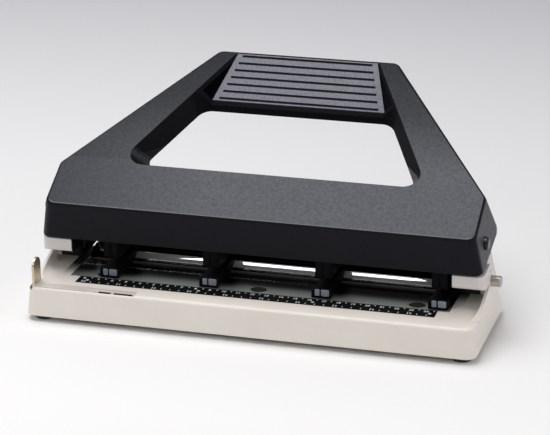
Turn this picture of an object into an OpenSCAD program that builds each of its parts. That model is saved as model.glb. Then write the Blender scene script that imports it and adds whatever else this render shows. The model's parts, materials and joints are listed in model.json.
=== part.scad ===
// Four-hole desk punch: a cast base with side brackets, four punch heads that slide on a polished rail
// and a guide rod, a pull-out paper stop, and a loop lever that presses all the punches at once.
// +X runs to the right along the scale, +Y to the rear, +Z up from the surface that the feet stand on.
// Lengths in front of or behind the "punch line" are measured from the row of hole centres.

/* [Base] */
// Width of the base casting
base_w = 313; // [305:1:330]
// From the punch line to the front face
base_front = 62; // [60:1:70]
// From the punch line to the rear face
base_rear = 36.5; // [36:0.5:45]
// Height of the rubber feet
foot_h = 4; // [3:0.5:8]
// Height of the base casting without its feet
base_h = 20.5; // [18:0.5:26]
// Wall of the casting
base_wall = 4; // [3:0.5:5]
// Radius of the upright corners
corner_r = 7; // [5:0.5:10]
// Radius of the edge round the table
table_r = 2.5; // [1:0.5:4]
// Lean of the base's walls from foot to table
base_draft = 1.5; // [0:0.5:2]
// Lean of the rear wall from foot to table
rear_lean = 10; // [5:0.5:10]
// Radius of a foot
foot_r = 7; // [5:0.5:8]

/* [Cheeks and brackets] */
// Wall of the upright cheek at each end
cheek_t = 2; // [1.5:0.5:3]
// Front end of a cheek, in front of the punch line
cheek_front = 44; // [40:0.5:45]
// Height of a cheek above the table where it meets the ear
cheek_rise = 10; // [8:0.5:11]
// Radius of the cove between a cheek and the table
cove_r = 5; // [3:0.5:6]
// Height of the bracket pin above the table
pin_rise = 13; // [12:0.5:16]
// Bracket pin in front of the punch line
pin_ahead = 4; // [2:0.5:6]
// Radius of the bracket pin
pin_r = 3.75; // [3:0.25:4.5]
// Length of the bracket pin outside its cheek
pin_stub = 7; // [3:0.5:8]
// Width of a bracket's foot
bracket_w = 19.5; // [19:0.1:21]
// Gap between a bracket and its cheek
bracket_gap = 0.3; // [0.3:0.1:0.8]
// Radius of a bracket's outer front corner
bracket_r = 6; // [3:0.5:8]
// How far a bracket's front stands out over its cheek
shoulder = 3; // [1:0.5:4]

/* [Scale and paper stop] */
// Length of the scale strip
scale_len = 251; // [200:1:255]
// Width of the scale strip
scale_w = 11; // [8:0.5:11]
// Front edge of the scale, in front of the punch line
scale_front = 45; // [44:0.5:46]
// Length of the paper stop's bar
stop_len = 73; // [50:1:90]
// Width of the paper stop's bar
stop_w = 7.4; // [5:0.2:8]
// Height of the upright plate on the paper stop, above the table
stop_rise = 18.5; // [12:0.5:22]

/* [Punch heads] */
// Distance between two holes
hole_pitch = 80; // [70:1:82]
// Shift of the whole row of heads to the right
row_shift = 5; // [0:0.1:6]
// Radius of a punch
punch_r = 2.75; // [2.5:0.05:3]
// Width of a head's frame
head_w = 11; // [10.5:0.1:11.5]
// Width of a head's nose
nose_w = 13.2; // [12:0.1:15]
// Paper edge to hole centre
hole_margin = 12; // [10:0.5:13]
// Opening for the paper
throat_h = 5.7; // [5:0.1:6.2]
// Radius of the guide rod
rod_r = 2.8; // [2.4:0.1:3]
// Radius of the polished rail's round face
rail_r = 20; // [15:0.5:22]
// Height of the rail above the table
rail_rise = 4.9; // [4:0.1:5]

/* [Lever] */
// Tilt of the raised lever
lever_tilt = 29; // [27:0.5:32]
// Length of the lever's top face
lever_len = 155.2; // [145:0.1:170]
// Width of the lever at the front
lever_w = 300; // [298:1:301]
// Width of the lever at the grip
grip_w = 130; // [120:1:150]
// Length of the straight ends before the sides run in
end_len = 38; // [34:0.5:42]
// Wall of the cover
cover_wall = 2.5; // [2:0.1:3]
// Radius of the edge round the cover's top
cover_edge_r = 1.5; // [1:0.5:4]
// Depth of the arms and of the walls round the opening
loop_depth = 17; // [16.5:0.5:22]
// Front edge of the loop's opening, behind the front edge of the lever
loop_front = 41.5; // [40:0.5:44]
// Width of the opening at its front
loop_w = 219; // [190:1:220]
// Width between the arms at the rear edge of the grip
well_rear_w = 105; // [104:1:110]
// Length of the grip pad along its slope
pad_len = 38; // [34:0.2:39]
// Slope of the grip pad down from the top face
pad_slope = 16.5; // [12:0.5:17]
// Width of the grip pad at its front
pad_front_w = 125; // [110:1:126]
// Width of the grip pad at its rear
pad_rear_w = 102; // [90:1:102]
// Number of grooves in the grip pad
pad_grooves = 7; // [5:1:8]
// Radius of the lever's pivot pins
pivot_r = 3; // [2.5:0.25:3.5]
// Radius of the press rod over the punches
press_r = 4; // [3:0.25:4.5]

/* [Hidden] */
$fn = 64;
// Gaps: a running fit, pieces that only lie close, and a laid-in strip
fit = 0.05;
near = 0.3;
laid = 0.1;
// A cut that runs past a face
past = 1;

// Heights
table_z = foot_h + base_h;
die_z = table_z + 6.7;
jaw_z = die_z + throat_h;
head_top_z = jaw_z + 13.1;
pin_z = table_z + pin_rise;
pin_y = -pin_ahead;

// Base, inside and out
half_w = base_w / 2;
cheek_out = half_w - base_draft;
cheek_in = cheek_out - cheek_t;
ear_r = pin_r + 3.5;
ear_front = pin_y - ear_r;
ear_turn = 50;
rim = base_wall + base_draft;
hollow_rear = base_rear - rear_lean - base_wall;
boss_r = foot_r + 2;
foot_x = half_w - boss_r - 1.5;
foot_front = -base_front + boss_r + 1.5;
foot_rear = base_rear - rear_lean - boss_r - 1.5;
boss_h = base_h - 3;
peg_r = 3;
peg_h = 5;
slot_w = 9;
slot_end = 2.2;
tray_wall = 1.5;
tray_z = foot_h + 0.5;
tray_h = base_h - base_wall - 5;
tray_x = foot_x - boss_r - near;

// Side brackets: their inner face, the wide foot below the cover and the narrow plate inside it
bracket_out = cheek_in - bracket_gap;
bracket_in = bracket_out - bracket_w;
plate_out = lever_w / 2 - cover_wall + 0.2;
slot_half = bracket_in - slot_end;
block_front = -28.5;
shoulder_rear = ear_front - 1.2;
block_z = table_z + 14.5;
block_r = 3;
shelf_z = table_z + 27;
plate_r = 10;

// Laid on the table: the scale, and the steel plate behind it
strip_t = 0.9;
strip_sunk = 0.6;
plate_t = 0.8;
sheet_front = -scale_front + scale_w + 2 * laid;
oval_y = -27;
oval_w = 4.6;
oval_len = 12;
oval_places = [-110, 0, 110];

// Polished rail behind the dies, and the guide rod through the upper jaws
rail_z = table_z + rail_rise - rail_r;
rail_y = slot_w / 2 + near + sqrt(rail_r * rail_r - (rail_r - rail_rise) * (rail_r - rail_rise));
rail_back = rail_y + 4;
rail_half = bracket_in - near;
rod_y = -10.5;
rod_z = jaw_z + 9.3;
rod_seat = 12;

// Paper stop
stop_y = -59;
stop_t = 2.2;
stop_x = -half_w + 5;
stop_plate_t = 1.6;
stop_plate_w = 12;
stop_step = 0.5;
notch_d = 1.6;
notches = [[48, 8.5], [59, 13]];

// Lever frame: u runs back along the top face, w stands square to it
pivot_u = 12.4;
pivot_w = -16;
pivot_y = -15.6;
pivot_z = table_z + 43.8;
lever_y = pivot_y - pivot_u * cos(lever_tilt) + pivot_w * sin(lever_tilt);
lever_z = pivot_z - pivot_u * sin(lever_tilt) - pivot_w * cos(lever_tilt);
skirt_depth = 24;
front_flare = 10;
side_flare = 4.4;
rear_draft = 3;
end_depth = 30;
arm_run = 22;
loop_draft = 5;
loop_r = 11;
pad_t = 3;
pad_inset = 2.2;
pad_rear_u = lever_len - pad_inset;
pad_front_u = pad_rear_u - pad_len * cos(pad_slope);
groove_w = 1.8;
groove_d = 1.2;
groove_pitch = 5.7;
head_r = 4.3;
seat_x = lever_w / 2 + 2;

// Press beam, and the screws between it and the cover
press_z = table_z + 42;
press_u = -lever_y * cos(lever_tilt) + (press_z - lever_z) * sin(lever_tilt);
press_w = lever_y * sin(lever_tilt) + (press_z - lever_z) * cos(lever_tilt);
beam_top = cover_wall + 1.5;
beam_t = 3;
beam_front = 6;
beam_half = bracket_in - 2 * near;
beam_ear_r = 8;
ear_t = 3.5;
web_t = 4.4;
boss_out = 4;
screw_r = 1.9;
screw_bite = 2.6;
screw_head_r = 3.5;
screw_head_h = 2.2;
screw_pitch = 60;
screw_u = 15;
screw_places = [for (i = [-1.5:1.5]) [i * screw_pitch, screw_u]];

// Heads and what is in them
head_rear = hole_margin + 7;
nose_front = -32;
jaw_front = -27;
spring_seat_z = jaw_z + 5.1;
press_gap = near;
punch_top_z = press_z - press_r - press_gap;
punch_tip_z = jaw_z + 0.5;
punch_head_h = 2.5;
punch_head_r = punch_r + 1.65;
spring_wire_r = 0.4;
spring_r = punch_r + 1;
spring_turns = 7;
spring_z0 = spring_seat_z + spring_wire_r + fit;
spring_z1 = punch_top_z - punch_head_h - spring_wire_r - fit;
spring_rings = spring_turns * 8;
pocket_r = spring_r + spring_wire_r + 0.25;
die_r = punch_r + 1.45;
die_h = 3;
marker_t = 0.5;
// How far each head is slid from its place in the row
head_slid = [9.5, 1, 0, 0];
heads = [for (i = [0:3]) row_shift + (i - 1.5) * hole_pitch + head_slid[i]];

// Middle of the footprint, from the front of the base to the rear of the lever
rear_u = lever_len - rear_draft;
lever_rear_y = lever_y + rear_u * cos(lever_tilt) + loop_depth * sin(lever_tilt);
y_mid = (lever_rear_y - base_front) / 2;

// Everything is drawn from the punch line and moved to the middle of the footprint
module place() { translate([0, -y_mid, 0]) children(); }

// The lever's own frame
module on_lever() { translate([0, lever_y, lever_z]) rotate([lever_tilt, 0, 0]) children(); }

// A profile drawn as (y, z), or (u, w) on the lever, swept along X
module along_x(x0, x1) {
    translate([x0, 0, 0]) rotate([90, 0, 90]) linear_extrude(x1 - x0) children();
}

module rod_x(x0, x1, y, z, r) {
    translate([x0, y, z]) rotate([0, 90, 0]) cylinder(r = r, h = x1 - x0);
}

module side(s) { mirror([s < 0 ? 1 : 0, 0, 0]) children(); }

// Base

// One corner of the casting: a leaning post with a round upper edge
module base_corner(sx, y, sy, lean) {
    translate([sx * (half_w - corner_r), y - sy * corner_r, foot_h])
        cylinder(r = corner_r, h = 1, $fn = 32);
    translate([sx * (half_w - corner_r - base_draft), y - sy * (corner_r + lean), table_z - table_r])
        rotate_extrude($fn = 32) {
            square([corner_r - table_r, table_r]);
            intersection() {
                translate([corner_r - table_r, 0]) circle(table_r, $fn = 24);
                square([corner_r, table_r]);
            }
        }
}

// Cheek: a ramp that climbs to the ear for the pin, and a slope down to the rear
module cheek_profile() {
    low = table_z - base_wall;
    rear = base_rear - rear_lean - corner_r + 2;
    translate([pin_y, pin_z]) circle(ear_r);
    polygon([[-cheek_front, low], [-cheek_front, table_z], [ear_front, table_z + cheek_rise],
        [ear_front, pin_z], [pin_y, pin_z], [pin_y + ear_r * cos(ear_turn), pin_z + ear_r * sin(ear_turn)],
        [rear, table_z - table_r], [rear, low]]);
}

// Cove between the ramp and the table, in front of the ear
module cheek_cove() {
    intersection() {
        along_x(cheek_in - cove_r, cheek_out) cheek_profile();
        translate([0, ear_front, 0]) rotate([90, 0, 0]) linear_extrude(cheek_front + ear_front) difference() {
            translate([cheek_in - cove_r, table_z - past]) square([cove_r + past, cove_r + past]);
            translate([cheek_in - cove_r, table_z + cove_r]) circle(cove_r);
        }
    }
}

module base_casting() {
    color("antiquewhite") difference() {
        union() {
            difference() {
                hull() for (sx = [-1, 1]) {
                    base_corner(sx, -base_front, -1, base_draft);
                    base_corner(sx, base_rear, 1, rear_lean);
                }
                translate([-half_w + rim, -base_front + rim, -past])
                    cube([base_w - 2 * rim, base_front - rim + hollow_rear, table_z - base_wall + past]);
            }
            for (s = [-1, 1]) side(s) {
                along_x(cheek_in, cheek_out) cheek_profile();
                cheek_cove();
            }
            for (x = [-foot_x, foot_x], y = [foot_front, foot_rear])
                translate([x, y, foot_h]) cylinder(r = boss_r, h = boss_h);
        }
        chip_slot(table_z - base_wall);
        translate([-scale_len / 2 - laid, -scale_front - laid, table_z - strip_sunk])
            cube([scale_len + 2 * laid, scale_w + 2 * laid, past]);
        translate([0, 0, table_z - plate_t]) linear_extrude(past) sheet_plan(laid);
        for (x = oval_places)
            translate([x, oval_y, table_z - plate_t - past]) linear_extrude(2 * past) oval();
        stop_groove();
        for (s = [-1, 1]) side(s) rod_x(cheek_in - past, half_w + past, pin_y, pin_z, pin_r);
        for (x = [-foot_x, foot_x], y = [foot_front, foot_rear])
            translate([x, y, foot_h - past]) cylinder(r = peg_r, h = peg_h + past);
    }
}

// Chips fall through one long slot under the dies
module chip_slot(z) {
    translate([-slot_half, -slot_w / 2, z - past]) cube([2 * slot_half, slot_w, base_wall + 2 * past]);
}

// Outline of the steel plate, wider by a gap where its bed in the table is meant
module sheet_plan(gap) {
    translate([-bracket_in - gap, sheet_front - gap])
        square([2 * (bracket_in + gap), rail_back - sheet_front + 2 * gap]);
}

module oval() {
    square([oval_len - oval_w, oval_w], center = true);
    for (s = [-1, 1]) translate([s * (oval_len - oval_w) / 2, 0]) circle(oval_w / 2);
}

module slide_plate() {
    color("lightslategray") difference() {
        translate([0, 0, table_z - plate_t]) linear_extrude(plate_t) sheet_plan(0);
        chip_slot(table_z - base_wall);
        for (x = oval_places) translate([x, oval_y, table_z - past]) linear_extrude(2 * past) oval();
    }
}

// The groove for the paper stop runs out through the left side
module stop_groove() {
    translate([-half_w - past, stop_y - near, table_z - stop_t])
        cube([stop_x + half_w + stop_len + near + past, stop_w + 2 * near, stop_t + past]);
}

module chip_tray() {
    y0 = -base_front + rim + near;
    y1 = hollow_rear - near;
    color("dimgray") difference() {
        translate([-tray_x, y0, tray_z]) cube([2 * tray_x, y1 - y0, tray_h]);
        translate([-tray_x + tray_wall, y0 + tray_wall, tray_z + tray_wall])
            cube([2 * (tray_x - tray_wall), y1 - y0 - 2 * tray_wall, tray_h]);
    }
}

// A foot with the peg that holds it in the casting
module foot(sx, y) {
    color("black") translate([sx * foot_x, y, 0]) {
        rotate_extrude() polygon([[0, 0], [foot_r - 1, 0], [foot_r, 1], [foot_r, foot_h], [0, foot_h]]);
        translate([0, 0, foot_h]) cylinder(r = peg_r, h = peg_h - near);
    }
}

module scale_strip() {
    color("black") translate([-scale_len / 2, -scale_front, table_z - strip_sunk])
        cube([scale_len, scale_w, strip_t]);
}

// Flat bar in the groove, notched along its front edge, turned up at its left end into a round-topped plate
module paper_stop() {
    bar_z = table_z - stop_t + laid;
    plate_y = stop_y + stop_step;
    color("silver") {
        difference() {
            translate([stop_x, stop_y, bar_z]) cube([stop_len, stop_w, stop_t]);
            for (n = notches) translate([stop_x + n[0], stop_y - past, bar_z - past])
                cube([n[1], notch_d + past, stop_t + 2 * past]);
        }
        along_x(stop_x, stop_x + stop_plate_t) {
            translate([plate_y, table_z + near]) square([stop_plate_w, stop_rise - stop_plate_w / 2 - near]);
            translate([plate_y, bar_z]) square([stop_w - stop_step, stop_t + 2 * near]);
            translate([plate_y + stop_plate_w / 2, table_z + stop_rise - stop_plate_w / 2])
                circle(stop_plate_w / 2);
        }
    }
}

// Side brackets, rail, guide rod and pins

// Plan of a bracket's foot, with a shoulder round at its outer front corner
module bracket_plan() {
    round_y = block_front + bracket_r;
    translate([bracket_in, block_front]) square([bracket_w + shoulder - bracket_r, bracket_r]);
    translate([bracket_in, round_y]) square([bracket_w + shoulder, shoulder_rear - round_y]);
    translate([bracket_in, round_y]) square([bracket_w, base_rear - round_y]);
    translate([bracket_out + shoulder - bracket_r, round_y]) circle(bracket_r);
}

module bracket(s) {
    color("gainsboro") side(s) difference() {
        union() {
            // Foot below the cover: a block at the front, an ear for the pin at the rear
            intersection() {
                along_x(bracket_in, bracket_out + shoulder) {
                    polygon([[block_front, shelf_z - 3], [block_front, block_z + block_r],
                        [block_front + block_r, block_z], [-15, block_z], [-10.5, pin_z - 4],
                        [pin_y - 4, table_z + 4], [21, table_z + 6], [23, table_z + 8],
                        [6.5, shelf_z + 2.5], [-9, shelf_z + 2], [-21, shelf_z]]);
                    translate([block_front + block_r, block_z + block_r]) circle(block_r);
                }
                linear_extrude(2 * shelf_z) bracket_plan();
            }
            // Plate inside the cover, up to the lever's pivot
            along_x(bracket_in, plate_out) {
                polygon([[-24.3, shelf_z - 4], [-25.4, pivot_z - 4], [-7, pivot_z + 5], [6.5, shelf_z + 2.5],
                    [6.5, shelf_z - 4]]);
                translate([pivot_y, pivot_z]) circle(plate_r);
            }
        }
        rod_x(bracket_in - past, plate_out + past, pivot_y, pivot_z, pivot_r + fit);
        rod_x(bracket_in - past, half_w, pin_y, pin_z, pin_r);
        rod_x(bracket_in - past, bracket_in + rod_seat, rod_y, rod_z, rod_r);
    }
}

module bracket_pin(s) {
    tip = 0.6;
    end_x = cheek_out + pin_stub - tip;
    color("silver") side(s) {
        rod_x(bracket_in + 1, end_x, pin_y, pin_z, pin_r);
        translate([end_x, pin_y, pin_z]) rotate([0, 90, 0]) cylinder(r1 = pin_r, r2 = pin_r - tip, h = tip);
    }
}

// Low rail with a round face and a flat back, on the plate behind the dies
module guide_rail() {
    color("silver") along_x(-rail_half, rail_half) intersection() {
        translate([rail_y, rail_z]) circle(rail_r);
        translate([rail_y - rail_r, table_z]) square([rail_back - rail_y + rail_r, rail_r]);
    }
}

module guide_rod() {
    color("silver") rod_x(-bracket_in - rod_seat, bracket_in + rod_seat, rod_y, rod_z, rod_r);
}

// Punch heads

// C-shaped frame: lower jaw over the rail, upper jaw on the guide rod, spine as the paper's stop
module head_frame(x) {
    seat_z = table_z + near;
    color("black") translate([x, 0, 0]) difference() {
        union() {
            along_x(-head_w / 2, head_w / 2) difference() {
                polygon([[nose_front + 2, seat_z], [head_rear - 2, seat_z], [head_rear, seat_z + 2],
                    [head_rear, head_top_z - 4], [head_rear - 4, head_top_z], [jaw_front + 1, head_top_z],
                    [jaw_front, head_top_z - 1], [jaw_front, jaw_z + 1], [jaw_front + 1, jaw_z],
                    [hole_margin, jaw_z], [hole_margin, die_z], [nose_front + 3, die_z]]);
                translate([rail_y, rail_z]) circle(rail_r + near);
            }
            along_x(-nose_w / 2, nose_w / 2)
                polygon([[nose_front, seat_z], [nose_front + 9, seat_z], [nose_front + 6, die_z],
                    [nose_front + 1.2, die_z], [nose_front, die_z - 1.2]]);
        }
        // Two ribs on the front of the upper jaw
        for (dx = [-head_w / 2 - 0.7, -0.7, head_w / 2 - 0.7])
            translate([dx, jaw_front - past, jaw_z + 2]) cube([1.4, past + 0.8, head_top_z]);
        rod_x(-head_w, head_w, rod_y, rod_z, rod_r + fit);
        translate([0, 0, jaw_z - past]) cylinder(r = punch_r + fit, h = head_top_z);
        translate([0, 0, spring_seat_z]) cylinder(r = pocket_r, h = head_top_z);
        translate([0, 0, die_z - die_h]) cylinder(r = die_r, h = die_h + past);
        translate([0, 0, table_z]) cylinder(r = punch_r + 0.6, h = die_z - table_z);
    }
}

module die_bush(x) {
    color("silver") translate([x, 0, die_z - die_h]) difference() {
        cylinder(r = die_r, h = die_h);
        translate([0, 0, -past]) cylinder(r = punch_r + fit, h = die_h + 2 * past);
    }
}

// Two pale squares on the nose, to read the head's place on the scale
module marker(x) {
    z0 = table_z + 1.4;
    color("lightgray") translate([x, nose_front - marker_t, z0]) {
        translate([-nose_w / 2 + 1.2, 0, 0]) cube([4, marker_t, 4]);
        translate([-nose_w / 2 + 6.4, 0, 0]) cube([5.6, marker_t, 4]);
    }
}

module punch(x) {
    color("silver") translate([x, 0, 0]) rotate_extrude()
        polygon([[0, punch_tip_z + 0.8], [punch_r, punch_tip_z], [punch_r, punch_top_z - punch_head_h],
            [punch_head_r, punch_top_z - punch_head_h], [punch_head_r, punch_top_z - 0.8],
            [punch_head_r - 0.8, punch_top_z], [0, punch_top_z]]);
}

// Compression spring: one tube of six sides swept along a helix
function spring_point(i) = let (t = i / spring_rings, a = 360 * spring_turns * t)
    [spring_r * cos(a), spring_r * sin(a), spring_z0 + (spring_z1 - spring_z0) * t];
function spring_ring(i) = let (c = spring_point(i), a = 360 * spring_turns * i / spring_rings)
    [for (k = [0:5]) c + spring_wire_r * [cos(60 * k) * cos(a), cos(60 * k) * sin(a), sin(60 * k)]];
spring_gap = min([for (i = [0:spring_rings - 8], j = [i + 6:min(i + 10, spring_rings)])
    norm(spring_point(j) - spring_point(i))]) - 2 * spring_wire_r;
echo("least gap between the turns of a spring", spring_gap);

module spring(x) {
    n = spring_rings;
    points = [for (i = [0:n]) each spring_ring(i)];
    walls = [for (i = [0:n - 1], k = [0:5]) let (a = 6 * i + k, b = 6 * i + (k + 1) % 6)
        each [[a, a + 6, b + 6], [a, b + 6, b]]];
    caps = [for (k = [1:4]) each [[0, k, k + 1], [6 * n, 6 * n + k + 1, 6 * n + k]]];
    color("silver") translate([x, 0, 0]) polyhedron(points, concat(walls, caps));
}

// Lever

// Plan of the cover at a depth below its top face, drawn in by an inset
module cover_plan(depth, inset) {
    f = front_flare * depth / skirt_depth - inset;
    s = side_flare * depth / skirt_depth - inset;
    r = -rear_draft * depth / loop_depth - inset;
    polygon([[-lever_w / 2 - s, -f], [lever_w / 2 + s, -f], [lever_w / 2 + s, end_len],
        [grip_w / 2 + s, lever_len + r], [-grip_w / 2 - s, lever_len + r], [-lever_w / 2 - s, end_len]]);
}

module cover_slice(depth, inset, r) {
    translate([0, 0, -depth]) linear_extrude(0.01)
        offset(r, $fn = 32) offset(delta = -r) cover_plan(depth, inset);
}

// The solid form of the cover, with its round upper edge, or the hollow inside it
module cover_form(inset, deep) {
    e = max(cover_edge_r - inset, 0.4);
    hull() {
        for (a = [0:22.5:90]) cover_slice(inset + e * (1 - sin(a)), inset + e * (1 - cos(a)), 6);
        cover_slice(deep, inset, 6);
    }
}

// Half the width between the arms' inner edges, at a place along the lever
function arm_in(u) = loop_w / 2 - (loop_w - well_rear_w) / 2 * (u - loop_front) / (pad_rear_u - loop_front);

// The loop's opening, wider by a wall where the wall round it is meant
module loop_form(grow, deep) {
    rear = pad_front_u - 0.2;
    hull() for (d = [-past, deep])
        translate([0, 0, -d]) linear_extrude(0.01) offset(loop_r + grow, $fn = 32)
            offset(delta = -loop_r - loop_draft * d / loop_depth)
                polygon([[-loop_w / 2, loop_front], [loop_w / 2, loop_front], [arm_in(rear), rear],
                    [-arm_in(rear), rear]]);
}

// Everything below the cover's rim
module below_rim() {
    far = 2 * lever_len;
    along_x(-base_w, base_w)
        polygon([[-far, -skirt_depth], [-front_flare, -skirt_depth], [end_len - 5, -end_depth],
            [end_len + arm_run, -loop_depth], [far, -loop_depth], [far, -far], [-far, -far]]);
}

// Grip pad: a sloping bed sunk into the rear of the cover
module pad_plan(grow) {
    polygon([[-pad_front_w / 2 - grow, pad_front_u], [pad_front_w / 2 + grow, pad_front_u],
        [pad_rear_w / 2 + grow, pad_rear_u + grow], [-pad_rear_w / 2 - grow, pad_rear_u + grow]]);
}

// A layer that follows the pad's slope, from one depth below it to another
module pad_layer(top, bottom) {
    translate([0, pad_rear_u, 0]) rotate([pad_slope, 0, 0])
        translate([-base_w / 2, -pad_len, -bottom]) cube([base_w, pad_len + 8, bottom - top]);
}

// The well over the pad: sloping sides from the arms' inner edges down to the pad
module pad_well() {
    lip = 6;
    front = pad_front_u - lip * cos(pad_slope);
    hull() {
        translate([0, pad_rear_u, 0]) rotate([pad_slope, 0, 0]) linear_extrude(0.01)
            polygon([[-pad_front_w / 2 - near, -pad_len - lip], [pad_front_w / 2 + near, -pad_len - lip],
                [pad_rear_w / 2 + near, 0], [-pad_rear_w / 2 - near, 0]]);
        linear_extrude(past) polygon([[-arm_in(front), front], [arm_in(front), front],
            [well_rear_w / 2, pad_rear_u], [-well_rear_w / 2, pad_rear_u]]);
    }
}

module lever_cover() {
    deep = 40;
    color("#2a2b2f") on_lever() difference() {
        cover_form(0, deep);
        difference() {
            cover_form(cover_wall, deep + past);
            loop_form(cover_wall, deep + 2 * past);
            pad_layer(pad_t, pad_t + cover_wall);
            for (p = screw_places) translate([p[0], p[1], -beam_top]) cylinder(r = boss_out, h = beam_top);
        }
        loop_form(0, deep + 3 * past);
        below_rim();
        pad_well();
        intersection() {
            translate([0, 0, -base_w]) linear_extrude(2 * base_w) pad_plan(near);
            pad_layer(-near, pad_t);
        }
        for (s = [-1, 1]) side(s) {
            rod_x(lever_w / 2 - 8, lever_w, pivot_u, pivot_w, pivot_r);
            rod_x(seat_x, lever_w, pivot_u, pivot_w, head_r + near);
        }
        for (p = screw_places)
            translate([p[0], p[1], -beam_top - past]) cylinder(r = screw_r, h = past + screw_bite);
    }
}

module grip_pad() {
    color("#3b3b43") on_lever() difference() {
        intersection() {
            translate([0, 0, -base_w]) linear_extrude(2 * base_w) pad_plan(0);
            pad_layer(0, pad_t);
        }
        translate([0, pad_rear_u, 0]) rotate([pad_slope, 0, 0]) for (i = [0:pad_grooves - 1]) {
            v = groove_w + groove_pitch * i;
            half = (pad_rear_w + (pad_front_w - pad_rear_w) * v / pad_len) / 2 - 4;
            translate([-half, -v - groove_w / 2, -groove_d]) cube([2 * half, groove_w, groove_d + past]);
        }
    }
}

// Steel beam in the front bar: a plate under the cover, a web to the press rod, an ear at each pivot
module press_beam() {
    color("gray") on_lever() difference() {
        union() {
            along_x(-beam_half, beam_half) {
                translate([beam_front, -beam_top - beam_t]) square([loop_front - 5 - beam_front, beam_t]);
                translate([press_u - web_t / 2, press_w]) square([web_t, -beam_top - beam_t / 2 - press_w]);
            }
            for (s = [-1, 1]) side(s) along_x(beam_half - ear_t, beam_half) {
                translate([pivot_u, pivot_w]) circle(beam_ear_r);
                polygon([[beam_front, -beam_top], [press_u, -beam_top], [press_u, press_w],
                    [pivot_u, pivot_w - beam_ear_r]]);
            }
        }
        rod_x(-beam_half + ear_t, beam_half - ear_t, press_u, press_w, press_r);
        rod_x(-base_w, base_w, pivot_u, pivot_w, pivot_r);
        for (p = screw_places) translate([p[0], p[1], -beam_top - beam_t - past])
            cylinder(r = screw_r + 0.2, h = beam_t + 2 * past);
    }
}

module press_rod() {
    color("silver") on_lever() rod_x(-beam_half + ear_t, beam_half - ear_t, press_u, press_w, press_r);
}

// Pivot pin with a round head outside the cover
module pivot_pin(s) {
    head_h = 3.6;
    edge = 1.5;
    color("#202024") side(s) on_lever() translate([0, pivot_u, pivot_w]) rotate([0, 90, 0]) {
        translate([0, 0, beam_half - ear_t]) cylinder(r = pivot_r, h = seat_x - beam_half + ear_t);
        translate([0, 0, seat_x]) rotate_extrude() {
            square([head_r, head_h - edge]);
            translate([0, head_h - edge]) square([head_r - edge, edge]);
            intersection() {
                translate([head_r - edge, head_h - edge]) circle(edge);
                square([head_r, head_h]);
            }
        }
    }
}

// Screws that hold the cover on the beam, driven from below
module cover_screws() {
    color("silver") on_lever() for (p = screw_places) translate([p[0], p[1], -beam_top - beam_t]) {
        translate([0, 0, -screw_head_h]) cylinder(r = screw_head_r, h = screw_head_h);
        cylinder(r = screw_r, h = beam_t + screw_bite);
    }
}

place() base_casting();
place() chip_tray();
place() foot(-1, foot_front);  // foot_front_left
place() foot(1, foot_front);  // foot_front_right
place() foot(-1, foot_rear);  // foot_rear_left
place() foot(1, foot_rear);  // foot_rear_right
place() scale_strip();
place() slide_plate();
place() paper_stop();
place() guide_rail();
place() guide_rod();
place() bracket(-1);  // bracket_left
place() bracket(1);  // bracket_right
place() bracket_pin(-1);  // bracket_pin_left
place() bracket_pin(1);  // bracket_pin_right
for (i = [0:3]) {
    place() head_frame(heads[i]);
    place() die_bush(heads[i]);
    place() marker(heads[i]);
    place() punch(heads[i]);
    place() spring(heads[i]);
}
place() lever_cover();
place() grip_pad();
place() press_beam();
place() press_rod();
place() pivot_pin(-1);  // pivot_pin_left
place() pivot_pin(1);  // pivot_pin_right
place() cover_screws();
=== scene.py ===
import json
import math
import bpy
from mathutils import Matrix, Vector


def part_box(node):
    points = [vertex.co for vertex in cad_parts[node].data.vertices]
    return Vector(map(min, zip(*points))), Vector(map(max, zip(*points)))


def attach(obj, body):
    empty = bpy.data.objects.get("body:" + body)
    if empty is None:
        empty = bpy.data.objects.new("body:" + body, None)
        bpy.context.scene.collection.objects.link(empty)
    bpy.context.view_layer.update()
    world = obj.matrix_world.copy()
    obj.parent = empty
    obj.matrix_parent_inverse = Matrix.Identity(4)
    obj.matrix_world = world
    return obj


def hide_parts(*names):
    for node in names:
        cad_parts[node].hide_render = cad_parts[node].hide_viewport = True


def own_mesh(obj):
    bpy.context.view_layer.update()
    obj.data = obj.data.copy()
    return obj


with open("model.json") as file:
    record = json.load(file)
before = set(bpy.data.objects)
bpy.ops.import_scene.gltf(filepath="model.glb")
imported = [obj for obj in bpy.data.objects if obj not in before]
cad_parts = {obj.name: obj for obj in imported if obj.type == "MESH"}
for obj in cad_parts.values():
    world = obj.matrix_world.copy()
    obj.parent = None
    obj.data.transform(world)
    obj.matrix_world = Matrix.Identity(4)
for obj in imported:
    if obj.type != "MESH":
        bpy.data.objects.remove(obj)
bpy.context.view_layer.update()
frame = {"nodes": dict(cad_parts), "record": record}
nodes = frame["nodes"]
bpy.ops.object.select_all(action="DESELECT")
print("frame loaded:", len(nodes), "nodes")


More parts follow.
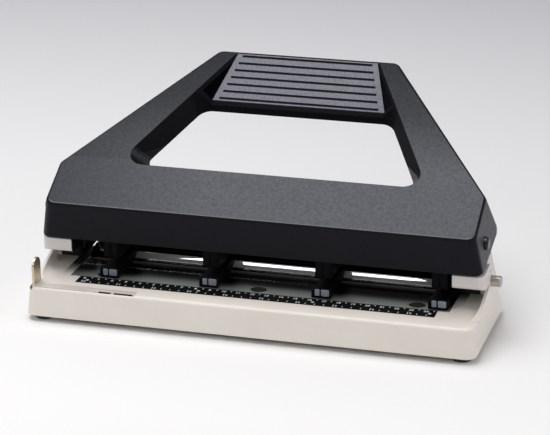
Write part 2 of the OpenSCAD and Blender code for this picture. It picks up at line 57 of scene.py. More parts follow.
# Shader wiring
class Flow:
    def __init__(self, tree, socket=None):
        self.tree = tree
        self.socket = socket

    # Any node: its type, its settings, then the values or links of its sockets
    def add(self, kind, settings=None, values=None, out=0):
        node = self.tree.nodes.new(kind)
        for key, value in (settings or {}).items():
            if key == "stops":
                self.fillRamp(node.color_ramp, value)
            else:
                setattr(node, key, value)
        for key, value in (values or {}).items():
            if isinstance(value, Flow):
                self.tree.links.new(value.socket, node.inputs[key])
            else:
                node.inputs[key].default_value = value
        return Flow(self.tree, node.outputs[out])

    def fillRamp(self, ramp, stops):
        while len(ramp.elements) < len(stops):
            ramp.elements.new(1.0)
        for element, (place, value) in zip(ramp.elements, stops):
            element.position = place
            element.color = value if isinstance(value, tuple) else (value, value, value, 1.0)

    def math(self, operation, a, b):
        return self.add("ShaderNodeMath", {"operation": operation}, {0: a, 1: b})

    def __add__(self, other):
        return self.math("ADD", self, other)

    def __radd__(self, other):
        return self.math("ADD", other, self)

    def __sub__(self, other):
        return self.math("SUBTRACT", self, other)

    def __rsub__(self, other):
        return self.math("SUBTRACT", other, self)

    def __mul__(self, other):
        return self.math("MULTIPLY", self, other)

    def __rmul__(self, other):
        return self.math("MULTIPLY", other, self)

    # One where the value lies between two others, or else nought
    def within(self, value, low, high):
        return self.math("GREATER_THAN", value, low) * self.math("LESS_THAN", value, high)

    # One inside a box, which is given by its range along each axis that counts
    def inBox(self, place, ranges):
        sides = [self.within(place["xyz".index(axis)], *ends) for axis, ends in ranges.items()]
        mask = sides[0]
        for side in sides[1:]:
            mask = mask * side
        return mask

    def split(self, vector):
        first = self.add("ShaderNodeSeparateXYZ", None, {0: vector})
        return [Flow(self.tree, out) for out in first.socket.node.outputs]

    # A colour between two others, by a share
    def tint(self, share, a, b):
        return self.add("ShaderNodeMix", {"data_type": "RGBA"}, {0: share, 6: a, 7: b}, out=2)

    def ramp(self, value, *stops):
        return self.add("ShaderNodeValToRGB", {"stops": stops}, {0: value})

    def noise(self, coords, scale, detail=2.0, rough=0.5):
        values = {"Vector": coords, "Scale": scale, "Detail": detail, "Roughness": rough}
        return self.add("ShaderNodeTexNoise", None, values)

    # Fine lines, drawn out along the axes with a small stretch
    def streaks(self, coords, stretch, scale=600):
        lines = self.add("ShaderNodeMapping", None, {"Vector": coords, "Scale": stretch})
        return self.noise(lines, scale, 2.0)

    def bump(self, height, strength, distance):
        values = {"Height": height, "Strength": strength, "Distance": distance}
        return self.add("ShaderNodeBump", None, values)


# sRGB as seen, 0 to 255, to the linear colour that a socket takes
def seen(red, green, blue):
    def linear(v):
        v = v / 255
        return v / 12.92 if v <= 0.04045 else ((v + 0.055) / 1.055) ** 2.4

    return (linear(red), linear(green), linear(blue), 1.0)


# A new finish: its wiring, the object's own coordinates and the shader node
def newFinish(name, **sockets):
    finish = bpy.data.materials.new(name)
    finish.use_nodes = True
    tree = finish.node_tree
    shader = tree.nodes["Principled BSDF"]
    for key, value in sockets.items():
        shader.inputs[key.replace("_", " ")].default_value = value
    wires = Flow(tree)
    coords = wires.add("ShaderNodeTexCoord", out="Object")
    return finish, wires, coords, shader


def link(flow, shader, socket):
    flow.tree.links.new(flow.socket, shader.inputs[socket])


# Cream stove enamel on the casting: fine orange peel and faint mottling. Painted shade makes the pocket under
# the plate, the chip chute and the strips beside the plate dark, and lies brown in the stop's trough
def makeCreamEnamel():
    look = {
        "colour": seen(236, 229, 220),
        "warm": seen(228, 219, 207),
        "paintedShade": seen(12, 12, 12),
        "chuteLow": seen(40, 42, 41),
        "chuteTop": seen(150, 156, 150),
        "troughShade": seen(96, 78, 62),
        "peel": 900,
        "mottle": 22,
        "coat": 0.15,
        "shadeRough": 0.5,
        "pocket": {"x": (-0.1316, 0.1316), "y": (-0.0570, -0.0002), "z": (0.0215, 0.0241)},
        "chute": {"x": (-0.1316, 0.1316), "y": (-0.0273, -0.0179), "z": (0.0150, 0.0243)},
        "chuteFoot": 0.0195,
        "chuteRise": 0.005,
        "stripX": (0.1300, 0.1400),
        "strip": {"y": (-1.0, 0.0005), "z": (0.0236, 0.0262)},
        "stripFrom": -0.1,
        "stripFade": ((0.045, 0.0), (0.066, 1.0)),
        "rightBack": 0.013,
        "trough": {"x": (-1.0, -0.076), "y": (-0.0818, -0.0738), "z": (0.0215, 0.0232)},
    }
    finish, w, at, shader = newFinish("creamEnamel", Coat_Roughness=0.25)
    place = w.split(at)
    x, y, z = place
    mottle = w.noise(at, look["mottle"], 3.0)
    paint = w.tint(w.ramp(mottle, (0.35, 0.0), (0.75, 0.55)), look["colour"], look["warm"])
    # Painted shade: near black in the pocket under the plate
    paint = w.tint(w.inBox(place, look["pocket"]), paint, look["paintedShade"])
    # Painted shade in the chip chute: near black at its foot, lighter towards its top
    climb = (z - look["chuteFoot"]) * (1 / look["chuteRise"])
    chuteShade = w.ramp(climb, (0.0, look["paintedShade"]), (0.35, look["chuteLow"]), (0.9, look["chuteTop"]))
    paint = w.tint(w.inBox(place, look["chute"]), paint, chuteShade)
    # Painted shade on the table strips beside the plate, under the brackets, fading out towards the front
    strip = w.within(w.math("ABSOLUTE", x, 0.0), *look["stripX"]) * w.inBox(place, look["strip"])
    deep = y - look["rightBack"] * w.math("GREATER_THAN", x, 0.0)
    shade = strip * w.ramp(deep - look["stripFrom"], *look["stripFade"])
    paint = w.tint(shade, paint, look["paintedShade"])
    # Painted shade: brown on the floor of the paper stop's trough
    link(w.tint(w.inBox(place, look["trough"]), paint, look["troughShade"]), shader, "Base Color")
    link(look["coat"] - look["coat"] * shade, shader, "Coat Weight")
    peel = w.noise(at, look["peel"], 1.0)
    speck = w.noise(at, look["peel"] * 3, 1.0)
    link(w.ramp(speck, (0.3, 0.40), (0.7, 0.52)) + look["shadeRough"] * shade, shader, "Roughness")
    link(w.bump(peel + 0.4 * speck, 0.22, 0.0004), shader, "Normal")
    return finish


# Pale grey enamel on the side brackets, with painted shade: black on the faces towards the heads and on a
# band of their inner part
def makeBracketEnamel():
    look = {
        "colour": seen(222, 216, 214),
        "dull": seen(208, 202, 200),
        "paintedShade": seen(8, 8, 8),
        "peel": 1100,
        "mottle": 40,
        "inner": {"x": (-0.1337, 0.1337)},
        "hidden": {"x": (-0.1490, 0.1490), "y": (-0.0490, -0.0100)},
    }
    finish, w, at, shader = newFinish("bracketEnamel")
    place = w.split(at)
    mottle = w.noise(at, look["mottle"], 3.0)
    paint = w.tint(w.ramp(mottle, (0.3, 0.0), (0.75, 0.7)), look["colour"], look["dull"])
    # Painted shade: black on the faces towards the heads and on a band of the inner part
    black = w.math("MAXIMUM", w.inBox(place, look["inner"]), w.inBox(place, look["hidden"]))
    link(w.tint(black, paint, look["paintedShade"]), shader, "Base Color")
    peel = w.noise(at, look["peel"], 1.0)
    link(w.ramp(peel, (0.3, 0.42), (0.7, 0.55)), shader, "Roughness")
    link(w.bump(peel, 0.15, 0.0004), shader, "Normal")
    return finish


# Painted sheen: pale colour on the faces that lean towards the light, changing upwards and across, and on the
# faces turned to the right, with a painted highlight on the rounded edge; also gives where the surface is
# dull
def addBloom(w, at, body, sheen):
    nx, ny, nz = w.split(w.add("ShaderNodeTexCoord", out="Normal"))
    x, y, z = w.split(at)
    leanY, leanZ = sheen["lean"]
    edgeY, edgeZ = sheen["edge"]
    blotch = w.noise(at, sheen["blotch"], 2.0, 0.6)
    # Painted reflection: the faces that lean towards the lamp are tinted pale
    lying = w.ramp(ny * leanY + nz * leanZ, (0.985, 0.0), (0.997, 1.0))
    lying = lying * w.math("GREATER_THAN", y * leanY + z * leanZ, sheen["deep"])
    lying = lying * w.ramp(z, *sheen["climb"]) * w.ramp(x - sheen["acrossFrom"], *sheen["across"])
    lying = w.math("MAXIMUM", lying, w.ramp(nx, (0.85, 0.0), (0.95, sheen["side"])))
    body = w.tint(lying * w.ramp(blotch, (0.3, 0.62), (0.7, 1.0)), body, sheen["colour"])
    # Painted highlight along the rounded front edge, below a given height
    low = w.math("LESS_THAN", z, sheen["highlightBelow"])
    wearAndHighlight = low * w.ramp(ny * edgeY + nz * edgeZ, (0.985, 0.0), (0.995, sheen["highlightShare"]))
    dull = (1 - lying) * w.math("GREATER_THAN", z, sheen["dullAbove"])
    return w.tint(wearAndHighlight, body, sheen["wearAndHighlight"]), dull


# Moulded plastic with a leather grain: cells of about half a millimetre, uneven in colour and gloss
def makeGrainPlastic(name, colour, pale, rough, grain, depth, gloss, sheen=None):
    look = {"cool": (0.82, 0.87, 1.0, 1.0), "broad": 14, "spread": 0.06, "dullRough": 0.5}
    finish, w, at, shader = newFinish(name, Specular_IOR_Level=gloss, Specular_Tint=look["cool"])
    cells = w.add("ShaderNodeTexVoronoi", {"feature": "SMOOTH_F1"}, {"Vector": at, "Scale": grain})
    fine = w.noise(at, grain * 2.2, 2.0)
    broad = w.noise(at, look["broad"], 3.0)
    body = w.tint(w.ramp(broad * 0.6 + 0.4 * fine, (0.3, 0.0), (0.75, 1.0)), colour, pale)
    matt = w.ramp(fine, (0.3, rough - look["spread"]), (0.7, rough + look["spread"]))
    if sheen:
        body, dull = addBloom(w, at, body, sheen)
        matt = matt + look["dullRough"] * dull
    link(body, shader, "Base Color")
    link(matt, shader, "Roughness")
    link(w.bump(cells + 0.5 * fine, depth, 0.0005), shader, "Normal")
    return finish


# Turned or drawn metal: fine lines along one axis
def makeDrawnMetal(name, colour, rough, stretch, depth):
    finish, w, at, shader = newFinish(name, Metallic=1.0)
    streak = w.streaks(at, stretch)
    cloud = w.noise(at, 60, 3.0)
    dark = tuple(0.8 * c for c in colour[:3]) + (1.0,)
    link(w.tint(w.ramp(cloud, (0.35, 0.0), (0.75, 0.8)), colour, dark), shader, "Base Color")
    link(w.ramp(streak * 0.7 + 0.3 * cloud, (0.3, rough * 0.7), (0.7, rough * 1.4)), shader, "Roughness")
    link(w.bump(streak, depth, 0.0002), shader, "Normal")
    return finish


# Polished rail: bright along the middle of its face; painted shade makes it dark above and at its ends. A
# half diffuse band along the face is a painted reflection, and the wire behind it is mostly diffuse white, a
# painted highlight
def makeRailSteel():
    look = {
        "bright": seen(228, 226, 229),
        "dark": seen(14, 15, 15),
        "half": 0.1185,
        "band": (-0.0166, -0.0112),
        "bandPaintedReflection": 0.5,
        "railTop": 0.0305,
        "wireTop": 0.0360,
        "wirePaintedHighlight": 0.8,
    }
    finish, w, at, shader = newFinish("railSteel")
    x, y, z = w.split(at)
    streak = w.streaks(at, (0.03, 1.0, 1.0))
    low = w.math("LESS_THAN", z, look["railTop"])
    face = w.within(x, -look["half"], look["half"]) * w.math("LESS_THAN", y, look["band"][1])
    # Painted shade: dark above the band and at the rail's ends
    link(w.tint(w.math("MAXIMUM", face, 1 - low), look["dark"], look["bright"]), shader, "Base Color")
    # Painted reflection: the band is half diffuse, so it stays pale where the lever hides the lamps
    band = low * face * w.within(y, *look["band"])
    # Painted highlight: the wire is mostly diffuse white
    wire = w.within(z, look["railTop"], look["wireTop"])
    link(1 - look["bandPaintedReflection"] * band - look["wirePaintedHighlight"] * wire, shader, "Metallic")
    link(w.ramp(streak, (0.3, 0.04), (0.7, 0.09)), shader, "Roughness")
    link(w.bump(streak, 0.015, 0.0002), shader, "Normal")
    return finish


# Half polished sheet: pale and dull in front, with painted shade and painted reflection making it dark
# towards the chip slot, where it is smoother, and one painted highlight line
def makePlateSteel():
    look = {
        "sheet": ((0.0, seen(206, 213, 207)), (0.13, seen(200, 207, 201)), (0.25, seen(184, 191, 185)),
                  (0.36, seen(140, 146, 141)), (0.47, seen(76, 80, 76)), (0.57, seen(26, 28, 26)),
                  (0.72, seen(30, 32, 30)), (0.95, seen(10, 11, 10))),
        "highlightLine": seen(222, 225, 222),
        "frontY": -0.0564,
        "depth": 0.0293,
        "waver": 0.06,
        "speck": 800,
        "lineAt": (0.77, 0.83),
        "lineFrom": -0.14,
        "lineFade": ((0.02, 1.0), (0.26, 0.15)),
        "lineRough": 0.5,
    }
    finish, w, at, shader = newFinish("plateSteel", Metallic=1.0)
    x, y, z = w.split(at)
    streak = w.streaks(at, (0.03, 1.0, 1.0))
    speck = w.noise(at, look["speck"], 2.0)
    back = (y - look["frontY"]) * (1 / look["depth"])
    # Painted shade and painted reflection: the sheet darkens from front to back
    sheet = w.ramp(back + look["waver"] * (streak - 0.5), *look["sheet"])
    fading = w.ramp(x - look["lineFrom"], *look["lineFade"])
    # Painted highlight: a speckled bright line across the sheet, fading towards the right
    line = w.within(back, *look["lineAt"]) * w.ramp(speck, (0.40, 0.1), (0.58, 1.0)) * fading
    link(w.tint(line, sheet, look["highlightLine"]), shader, "Base Color")
    smooth = w.ramp(back, (0.2, 0.42), (0.5, 0.16)) + 0.1 * streak
    link(w.math("MAXIMUM", smooth, line * look["lineRough"]), shader, "Roughness")
    link(w.bump(streak, 0.03, 0.0002), shader, "Normal")
    return finish


# Paper stop: a dull plated bar with painted shade in its notches, which turns up into a brighter, warmer
# plate
def makeStopSteel():
    look = {
        "bar": seen(224, 214, 207),
        "plate": seen(206, 193, 170),
        "cut": seen(62, 50, 38),
        "barTop": 0.0252,
        "barMetal": 0.2,
        "plateMetal": 0.75,
        "notchEdge": {"y": (-0.0820, -0.0797), "z": (-1.0, 0.02445)},
        "notches": ((-0.1036, -0.0949), (-0.0926, -0.0794)),
    }
    finish, w, at, shader = newFinish("stopSteel")
    place = w.split(at)
    x, y, z = place
    streak = w.streaks(at, (0.04, 1.0, 1.0))
    upright = w.math("GREATER_THAN", z, look["barTop"])
    left, right = (w.within(x, *ends) for ends in look["notches"])
    # Painted shade in the two notches of the bar's front edge
    cut = w.inBox(place, look["notchEdge"]) * (left + right)
    metal = w.tint(upright, look["bar"], look["plate"])
    link(w.tint(cut, metal, look["cut"]), shader, "Base Color")
    link(upright * look["plateMetal"] + look["barMetal"], shader, "Metallic")
    link(w.ramp(streak, (0.3, 0.24), (0.7, 0.40)), shader, "Roughness")
    link(w.bump(streak, 0.06, 0.0002), shader, "Normal")
    return finish


def makeRubber():
    look = {"dark": seen(26, 26, 27), "wearAndHighlight": seen(44, 44, 45), "grain": 1800}
    finish, w, at, shader = newFinish("footRubber")
    fine = w.noise(at, look["grain"], 2.0)
    link(w.tint(w.ramp(fine, (0.3, 0.0), (0.7, 1.0)), look["dark"], look["wearAndHighlight"]), shader, "Base Color")
    link(w.ramp(fine, (0.3, 0.75), (0.7, 0.9)), shader, "Roughness")
    link(w.bump(fine, 0.3, 0.0003), shader, "Normal")
    return finish


# White print on the scale
def makePrintWhite():
    look = {"thin": seen(206, 210, 208), "full": seen(228, 230, 228), "patch": 2600}
    finish, w, at, shader = newFinish("printWhite", Specular_IOR_Level=0.3)
    patch = w.noise(at, look["patch"], 2.0)
    link(w.tint(w.ramp(patch, (0.35, 0.0), (0.7, 1.0)), look["thin"], look["full"]), shader, "Base Color")
    link(w.ramp(patch, (0.3, 0.5), (0.7, 0.62)), shader, "Roughness")
    return finish


# Painted sheen on cover and pad, standing in for the reflection of the overhead lamp: the lean of the pale
# face, the depth below which it stops, how it changes upwards and across, its colour, and the painted
# highlight on the edge
coverSheen = {
    "lean": (-0.48481, 0.87462),
    "deep": -1.0,
    "climb": ((0.104, 1.0), (0.128, 0.46), (0.15, 0.28)),
    "acrossFrom": -0.16,
    "across": ((0.01, 0.42), (0.12, 1.0)),
    "colour": seen(95, 97, 101),
    "blotch": 480,
    "highlightBelow": 0.09,
    "dullAbove": 0.098,
    "side": 0.75,
    "edge": (-0.64279, 0.76604),
    "wearAndHighlight": seen(120, 121, 126),
    "highlightShare": 0.9,
}
padSheen = {
    "lean": (-0.71325, 0.70091),
    "deep": 0.0502,
    "climb": ((0.1, 1.0), (0.15, 1.0)),
    "acrossFrom": -0.16,
    "across": ((0.0, 1.0), (0.3, 1.0)),
    "colour": seen(132, 132, 142),
    "blotch": 700,
    "highlightBelow": 0.09,
    "dullAbove": 0.098,
    "side": 0.0,
    "edge": (-0.95, 0.31),
    "wearAndHighlight": seen(20, 20, 24),
    "highlightShare": 0.0,
}
# Grained plastic: dark colour, pale colour, roughness, grain, depth of the grain, gloss. Drawn metal: colour,
# roughness, stretch of the lines, their depth
finishes = {
    "base_paint": makeCreamEnamel(),
    "bracket_paint": makeBracketEnamel(),
    "tray_plastic": makeGrainPlastic("trayPlastic", seen(40, 40, 42), seen(54, 54, 56), 0.5, 900, 0.15, 0.4),
    "foot_rubber": makeRubber(),
    "scale_black": makeGrainPlastic("scaleBlack", seen(7, 8, 8), seen(14, 15, 15), 0.6, 1600, 0.06, 0.08),
    "bright_steel": makeStopSteel(),
    "chrome": makeRailSteel(),
    "plate_steel": makePlateSteel(),
    "head_black": makeGrainPlastic("headBlack", seen(6, 6, 8), seen(11, 11, 13), 0.5, 1400, 0.08, 0.07),
    "tool_steel": makeDrawnMetal("toolSteel", seen(180, 180, 182), 0.22, (1.0, 1.0, 0.05), 0.05),
    "spring_steel": makeDrawnMetal("springSteel", seen(168, 168, 172), 0.28, (1.0, 1.0, 1.0), 0.04),
    "marker_pale": makeGrainPlastic("markerPale", seen(120, 124, 136), seen(150, 154, 164),
                                    0.35, 1500, 0.05, 0.5),
    "cover_plastic": makeGrainPlastic("coverPlastic", seen(8, 8, 12), seen(15, 15, 19),
                                      0.36, 1300, 0.5, 0.16, coverSheen),
    "pad_plastic": makeGrainPlastic("padPlastic", seen(42, 42, 47), seen(52, 52, 58),
                                    0.4, 1500, 0.15, 0.2, padSheen),
    "beam_steel": makeDrawnMetal("beamSteel", seen(70, 71, 74), 0.35, (0.05, 1.0, 1.0), 0.06),
    "pin_black": makeGrainPlastic("pinBlack", seen(12, 12, 14), seen(22, 22, 25), 0.25, 1200, 0.05, 0.5),
    "screw_steel": makeDrawnMetal("screwSteel", seen(190, 190, 188), 0.25, (1.0, 1.0, 0.1), 0.05),
}
printWhite = makePrintWhite()
for part in frame["record"]["subparts"]:
    slots = nodes[part["node"]].data.materials
    slots.clear()
    slots.append(finishes[part["material_slot"]])
holeShade = makeGrainPlastic("holeShade", seen(34, 37, 31), seen(52, 55, 47), 0.6, 1400, 0.05, 0.1)
satinPin = makeDrawnMetal("satinPin", seen(190, 182, 176), 0.42, (0.05, 1.0, 1.0), 0.06)
for end in ("left", "right"):
    nodes["bracket_pin_" + end].data.materials[0] = satinPin
print("finishes:", len(finishes) + 3)


# A piece takes its name, its place in its own mesh, its finish and its body
def settle(piece, name, finish, body):
    piece.name = name
    bpy.ops.object.select_all(action="DESELECT")
    piece.select_set(True)
    bpy.context.view_layer.objects.active = piece
    bpy.ops.object.transform_apply(location=True, rotation=True, scale=True)
    piece.data.materials.clear()
    piece.data.materials.append(finish)
    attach(piece, body)
    return piece


def applyModifier(piece, kind, **settings):
    modifier = piece.modifiers.new(kind.lower(), kind)
    for key, value in settings.items():
        setattr(modifier, key, value)
    bpy.context.view_layer.objects.active = piece
    bpy.ops.object.modifier_apply(modifier=modifier.name)


def joinPieces(pieces):
    bpy.ops.object.select_all(action="DESELECT")
    for piece in pieces:
        piece.select_set(True)
    bpy.context.view_layer.objects.active = pieces[0]
    bpy.ops.object.join()
    return pieces[0]


# A copy at another place, with its own mesh
def copyPiece(piece, place):
    copy = piece.copy()
    copy.data = piece.data.copy()
    bpy.context.scene.collection.objects.link(copy)
    copy.location = place
    return copy


# Selects the faces or edges that pass a test, and leaves the piece in edit mode
def pick(piece, kind, test):
    bpy.ops.object.mode_set(mode="EDIT")
    bpy.ops.mesh.select_mode(type=kind)
    bpy.ops.mesh.select_all(action="DESELECT")
    bpy.ops.object.mode_set(mode="OBJECT")
    for item in piece.data.polygons if kind == "FACE" else piece.data.edges:
        item.select = test(item)
    bpy.ops.object.mode_set(mode="EDIT")


# Return springs: round wire, wound once on the axis of a punch and copied to the others
returnSpring = {"wire": 0.0004, "turns": 7, "steps": 28, "sides": 10, "weld": 1e-6, "pressed": 0.62}


def springAxis(number):
    low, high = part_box("spring_%d" % number)
    return ((low[0] + high[0]) / 2, (low[1] + high[1]) / 2, low[2])


def windSpring(number):
    low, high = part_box("spring_%d" % number)
    axis = springAxis(number)
    wire = returnSpring["wire"]
    radius = (high[0] - low[0]) / 2 - wire
    rise = high[2] - low[2] - 2 * wire
    bpy.ops.object.select_all(action="DESELECT")
    start = (axis[0] + radius, axis[1], axis[2] + wire)
    bpy.ops.mesh.primitive_circle_add(vertices=returnSpring["sides"], radius=wire,
                                      location=start, rotation=(math.pi / 2, 0, 0))
    spring = bpy.context.object
    bpy.context.scene.cursor.location = axis
    bpy.ops.object.origin_set(type="ORIGIN_CURSOR")
    bpy.context.scene.cursor.location = (0, 0, 0)
    bpy.ops.object.transform_apply(location=False, rotation=True, scale=True)
    applyModifier(spring, "SCREW", axis="Z", screw_offset=rise / returnSpring["turns"],
                  iterations=returnSpring["turns"], steps=returnSpring["steps"],
                  render_steps=returnSpring["steps"], use_smooth_shade=True)
    bpy.ops.object.mode_set(mode="EDIT")
    bpy.ops.mesh.select_all(action="SELECT")
    bpy.ops.mesh.remove_doubles(threshold=returnSpring["weld"])
    bpy.ops.mesh.fill_holes(sides=0)
    bpy.ops.mesh.select_all(action="SELECT")
    bpy.ops.mesh.normals_make_consistent(inside=False)
    bpy.ops.object.mode_set(mode="OBJECT")
    return spring


def makeSprings():
    first = windSpring(1)
    springs = [first] + [copyPiece(first, springAxis(number)) for number in range(2, 5)]
    for number, spring in enumerate(springs, 1):
        anchor = springAxis(number)
        body = "head_%d" % number
        settle(spring, "returnSpring%d" % number, finishes["spring_steel"], body)
        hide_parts("spring_%d" % number)
        "punch_%d_stroke" % number
        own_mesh(spring)


makeSprings()
print("springs wound")


# Windows on each nose: a narrow and a wide pane, round at the corners, measured from the marker's low corner
noseWindows = {
    "panes": ((0.0013, 0.0033), (0.0056, 0.0055)),
    "rise": 0.0006,
    "height": 0.0045,
    "thick": 0.0005,
    "corner": 0.0007,
    "crown": 0.00016,
}


def makePane(left, width):
    height = noseWindows["height"]
    thick = noseWindows["thick"]
    middle = (left + width / 2, thick / 2, noseWindows["rise"] + height / 2)
    bpy.ops.object.select_all(action="DESELECT")
    bpy.ops.mesh.primitive_cube_add(size=1, location=middle, scale=(width, thick, height))
    pane = bpy.context.object
    bpy.ops.object.transform_apply(location=True, rotation=True, scale=True)

    def runsBack(edge):
        a, b = (pane.data.vertices[i].co for i in edge.vertices)
        return abs(a.y - b.y) > thick / 2

    pick(pane, "EDGE", runsBack)
    bpy.ops.mesh.bevel(offset=noseWindows["corner"], segments=4, affect="EDGES")
    pick(pane, "FACE", lambda face: face.normal.y < -0.9)
    bpy.ops.mesh.inset(thickness=noseWindows["crown"] * 2, depth=0)
    bpy.ops.transform.translate(value=(0, -noseWindows["crown"], 0))
    bpy.ops.object.mode_set(mode="OBJECT")
    return pane


def makeNoseWindows():
    first = joinPieces([makePane(left, width) for left, width in noseWindows["panes"]])
    windows = [first] + [copyPiece(first, (0, 0, 0)) for number in range(2, 5)]
    for number, window in enumerate(windows, 1):
        node = "marker_%d" % number
        window.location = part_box(node)[0]
        settle(window, "noseWindows%d" % number, finishes["marker_pale"], "head_%d" % number)
        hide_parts(node)


makeNoseWindows()
print("nose windows set")


# Black back plate behind the rail, its top edge leaning back, with a bright wire along its front
railBack = {
    "half": 0.1329,
    "front": -0.00048,
    "thick": 0.0012,
    "foot": 0.0245,
    "top": 0.0430,
    "lip": 0.0016,
    "lipLeans": (0.5, 1.0),
    "lipRise": 1.2,
    "edge": 0.0003,
    "wire": 0.0006,
    "wireZ": 0.0336,
    "wireEnds": (-0.1295, 0.0480),
    "wireEdge": 0.0002,
}


def makeBackPlate():
    height = railBack["top"] - railBack["foot"]
    middle = (0, railBack["front"] + railBack["thick"] / 2, railBack["foot"] + height / 2)
    size = (2 * railBack["half"], railBack["thick"], height)
    bpy.ops.object.select_all(action="DESELECT")
    bpy.ops.mesh.primitive_cube_add(size=1, location=middle, scale=size)
    plate = bpy.context.object
    bpy.ops.object.transform_apply(location=True, rotation=True, scale=True)
    for lean in railBack["lipLeans"]:
        top = max(face.center.z for face in plate.data.polygons)
        pick(plate, "FACE", lambda face: face.center.z > top - 1e-6)
        step = (0, lean * railBack["lip"] / 2, (railBack["lipRise"] - lean) * railBack["lip"] / 2)
        bpy.ops.mesh.extrude_region_move(TRANSFORM_OT_translate={"value": step})
        bpy.ops.object.mode_set(mode="OBJECT")
    applyModifier(plate, "BEVEL", width=railBack["edge"], segments=2, limit_method="ANGLE")
    settle(plate, "railBackPlate", finishes["head_black"], "base")


def makeBackWire():
    left, right = railBack["wireEnds"]
    place = ((left + right) / 2, railBack["front"] - railBack["wire"], railBack["wireZ"])
    bpy.ops.object.select_all(action="DESELECT")
    bpy.ops.mesh.primitive_cylinder_add(vertices=20, radius=railBack["wire"], depth=right - left,
                                        location=place, rotation=(0, math.pi / 2, 0))
    wire = bpy.context.object
    applyModifier(wire, "BEVEL", width=railBack["wireEdge"], segments=2,
                  limit_method="ANGLE", angle_limit=1.0)
    bpy.ops.object.shade_smooth_by_angle(angle=0.6)
    settle(wire, "railBackWire", finishes["chrome"], "base")


makeBackPlate()
makeBackWire()
print("rail backed")


# Dark dished rings round the three finger holes in the plate: painted shade that makes each hole look larger
holeRing = {
    "places": (-0.110, 0.0, 0.110),
    "y": -0.04958,
    "z": 0.0245,
    "long": 0.0054,
    "deep": 0.0045,
    "film": 0.00005,
    "rim": 0.0006,
    "sink": 0.6,
}


def makeHoleRings():
    film = holeRing["film"]
    bpy.ops.object.select_all(action="DESELECT")
    bpy.ops.mesh.primitive_cylinder_add(vertices=40, radius=1, depth=film,
                                        location=(0, holeRing["y"], holeRing["z"] + film / 2),
                                        scale=(holeRing["long"], holeRing["deep"], 1))
    ring = bpy.context.object
    bpy.ops.object.transform_apply(location=True, rotation=True, scale=True)
    pick(ring, "FACE", lambda face: face.normal.z > 0.9)
    bpy.ops.mesh.inset(thickness=holeRing["rim"], depth=0)
    bpy.ops.transform.translate(value=(0, 0, -holeRing["sink"] * film))
    bpy.ops.object.mode_set(mode="OBJECT")
    rings = [ring] + [copyPiece(ring, (x, 0, 0)) for x in holeRing["places"][1:]]
    ring.location.x = holeRing["places"][0]
    settle(joinPieces(rings), "holeRings", holeShade, "base")


makeHoleRings()
print("finger holes ringed")


# Printed scale: centimetres along the rear edge, inches along the front edge, a dot at each hole's place.
# Ticks are width and depth
scaleMarks = {
    "film": 0.00006,
    "margin": 0.004,
    "centimetre": 0.010,
    "figure": 0.0034,
    "bold": 0.00013,
    "rearRow": 0.0031,
    "halfTick": (0.0007, 0.0016),
    "halfRow": 0.0026,
    "inch": 0.0254,
    "ticksPerInch": 4,
    "tick": (0.0005, 0.0020),
    "longTick": (0.0006, 0.0032),
    "frontRow": 0.0008,
    "inchFigure": 0.0027,
    "inchBeside": 0.7,
    "dot": 0.0011,
    "dotRow": 0.0048,
    "dotStart": -0.1185,
    "dotPitch": 0.080,
    "dots": 4,
}


def printBar(size):
    width, depth = size
    bpy.ops.mesh.primitive_cube_add(size=1, location=(0, 0, 0), scale=(width, depth, scaleMarks["film"]))
    return bpy.context.object


def printDot():
    bpy.ops.mesh.primitive_cylinder_add(vertices=20, radius=scaleMarks["dot"], depth=scaleMarks["film"],
                                        location=(0, 0, 0))
    return bpy.context.object


def printFigure(value, x, y, z, height):
    bpy.ops.object.text_add(location=(x, y, z))
    figure = bpy.context.object
    figure.data.body = str(value)
    figure.data.size = height
    figure.data.align_x = "CENTER"
    figure.data.align_y = "CENTER"
    figure.data.extrude = scaleMarks["film"] / 2
    figure.data.resolution_u = 2
    figure.data.offset = scaleMarks["bold"]
    bpy.ops.object.convert(target="MESH")
    return bpy.context.object


def makeScaleMarks():
    low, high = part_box("scale_strip")
    z = high[2] + scaleMarks["film"] / 2
    left = low[0] + scaleMarks["margin"]
    length = high[0] - low[0] - 2 * scaleMarks["margin"]
    front = low[1] + scaleMarks["frontRow"]
    bpy.ops.object.select_all(action="DESELECT")
    bars = {kind: printBar(scaleMarks[kind]) for kind in ("halfTick", "tick", "longTick")}
    dot = printDot()
    marks = []

    def putBar(kind, x, y):
        marks.append(copyPiece(bars[kind], (x, y + scaleMarks[kind][1] / 2, z)))

    for i in range(int(length / scaleMarks["centimetre"]) + 1):
        x = left + i * scaleMarks["centimetre"]
        marks.append(printFigure(i, x, high[1] - scaleMarks["rearRow"], z, scaleMarks["figure"]))
        putBar("halfTick", x + scaleMarks["centimetre"] / 2, high[1] - scaleMarks["halfRow"])
    step = scaleMarks["inch"] / scaleMarks["ticksPerInch"]
    for i in range(int(length / step) + 1):
        inches, rest = divmod(i, scaleMarks["ticksPerInch"])
        x = left + i * step
        putBar("tick" if rest else "longTick", x, front)
        if not rest:
            height = scaleMarks["inchFigure"]
            figureX = x + height * scaleMarks["inchBeside"]
            marks.append(printFigure(inches, figureX, front + height / 2, z, height))
    for i in range(scaleMarks["dots"]):
        x = scaleMarks["dotStart"] + i * scaleMarks["dotPitch"]
        marks.append(copyPiece(dot, (x, low[1] + scaleMarks["dotRow"], z)))
    for model in (dot, *bars.values()):
        bpy.data.objects.remove(model)
    settle(joinPieces(marks), "scaleMarks", printWhite, "base")


makeScaleMarks()
print("scale printed")


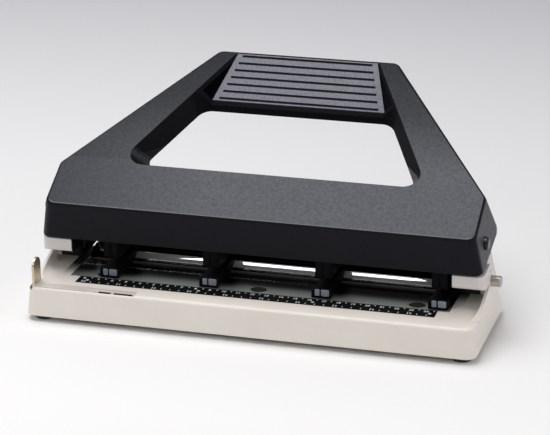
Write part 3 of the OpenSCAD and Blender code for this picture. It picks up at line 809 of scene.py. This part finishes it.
# Studio: floor, sky, lamps and camera
studio = {
    "floorSize": 12,
    "floorNear": seen(247, 246, 245),
    "floorFar": seen(190, 189, 195),
    "fadeY": (-0.2, 1.1),
    "sky": (0.9, 0.9, 0.92, 1.0),
    "skyStrength": 0.4,
}
studioLamps = {
    "overheadSoftbox": {"place": (-0.36, 0.05, 1.55), "aim": (-0.36, 0.05, 0),
                        "size": (0.95, 1.2), "power": 17.3},
    "frontFill": {"place": (-0.8, -1.45, 1.15), "aim": (0, 0, 0.05), "size": (1.2, 0.8), "power": 4.0},
    "sideFill": {"place": (1.5, -0.2, 0.85), "aim": (0.1, 0, 0.05), "size": (0.9, 0.9), "power": 4.9},
}
photoCamera = {
    "place": (0.44827, -1.50214, 0.64075),
    "turn": 0.29158,
    "dip": 0.35555,
    "roll": -0.0150,
    "lens": 158.69,
    "sensor": 36,
    "far": 50,
}


def makeFloor():
    bpy.ops.mesh.primitive_plane_add(size=studio["floorSize"], location=(0, 0, 0))
    floor = bpy.context.object
    floor.name = "studioFloor"
    finish, w, at, shader = newFinish("studioFloor", Roughness=0.9, Specular_IOR_Level=0.1)
    # Painted shade: the floor's colour darkens from near to far, standing in for the light falling off
    near, far = studio["fadeY"]
    fade = w.add("ShaderNodeMapRange", None, {"Value": w.split(at)[1], "From Min": near, "From Max": far})
    link(w.tint(fade, studio["floorNear"], studio["floorFar"]), shader, "Base Color")
    floor.data.materials.append(finish)


def makeSky():
    world = bpy.context.scene.world or bpy.data.worlds.new("studioSky")
    bpy.context.scene.world = world
    world.use_nodes = True
    sky = world.node_tree.nodes["Background"]
    sky.inputs["Color"].default_value = studio["sky"]
    sky.inputs["Strength"].default_value = studio["skyStrength"]


def makeLamp(name, place, aim, size, power):
    lamp = bpy.data.lights.new(name, "AREA")
    lamp.shape = "RECTANGLE"
    lamp.size, lamp.size_y = size
    lamp.energy = power
    holder = bpy.data.objects.new(name, lamp)
    bpy.context.scene.collection.objects.link(holder)
    holder.location = place
    holder.rotation_euler = (Vector(aim) - Vector(place)).to_track_quat("-Z", "Y").to_euler()


def makeCamera():
    camera = bpy.data.cameras.new("photoCamera")
    camera.sensor_fit = "HORIZONTAL"
    camera.sensor_width = photoCamera["sensor"]
    camera.lens = photoCamera["lens"]
    camera.clip_end = photoCamera["far"]
    holder = bpy.data.objects.new("photoCamera", camera)
    bpy.context.scene.collection.objects.link(holder)
    turn = Matrix.Rotation(photoCamera["turn"], 4, "Z")
    dip = Matrix.Rotation(math.pi / 2 - photoCamera["dip"], 4, "X")
    roll = Matrix.Rotation(photoCamera["roll"], 4, "Z")
    holder.matrix_world = Matrix.Translation(photoCamera["place"]) @ turn @ dip @ roll
    bpy.context.scene.camera = holder


makeFloor()
makeSky()
for name, lamp in studioLamps.items():
    makeLamp(name, **lamp)
makeCamera()
bpy.context.scene.view_settings.view_transform = "Standard"
print("studio set")
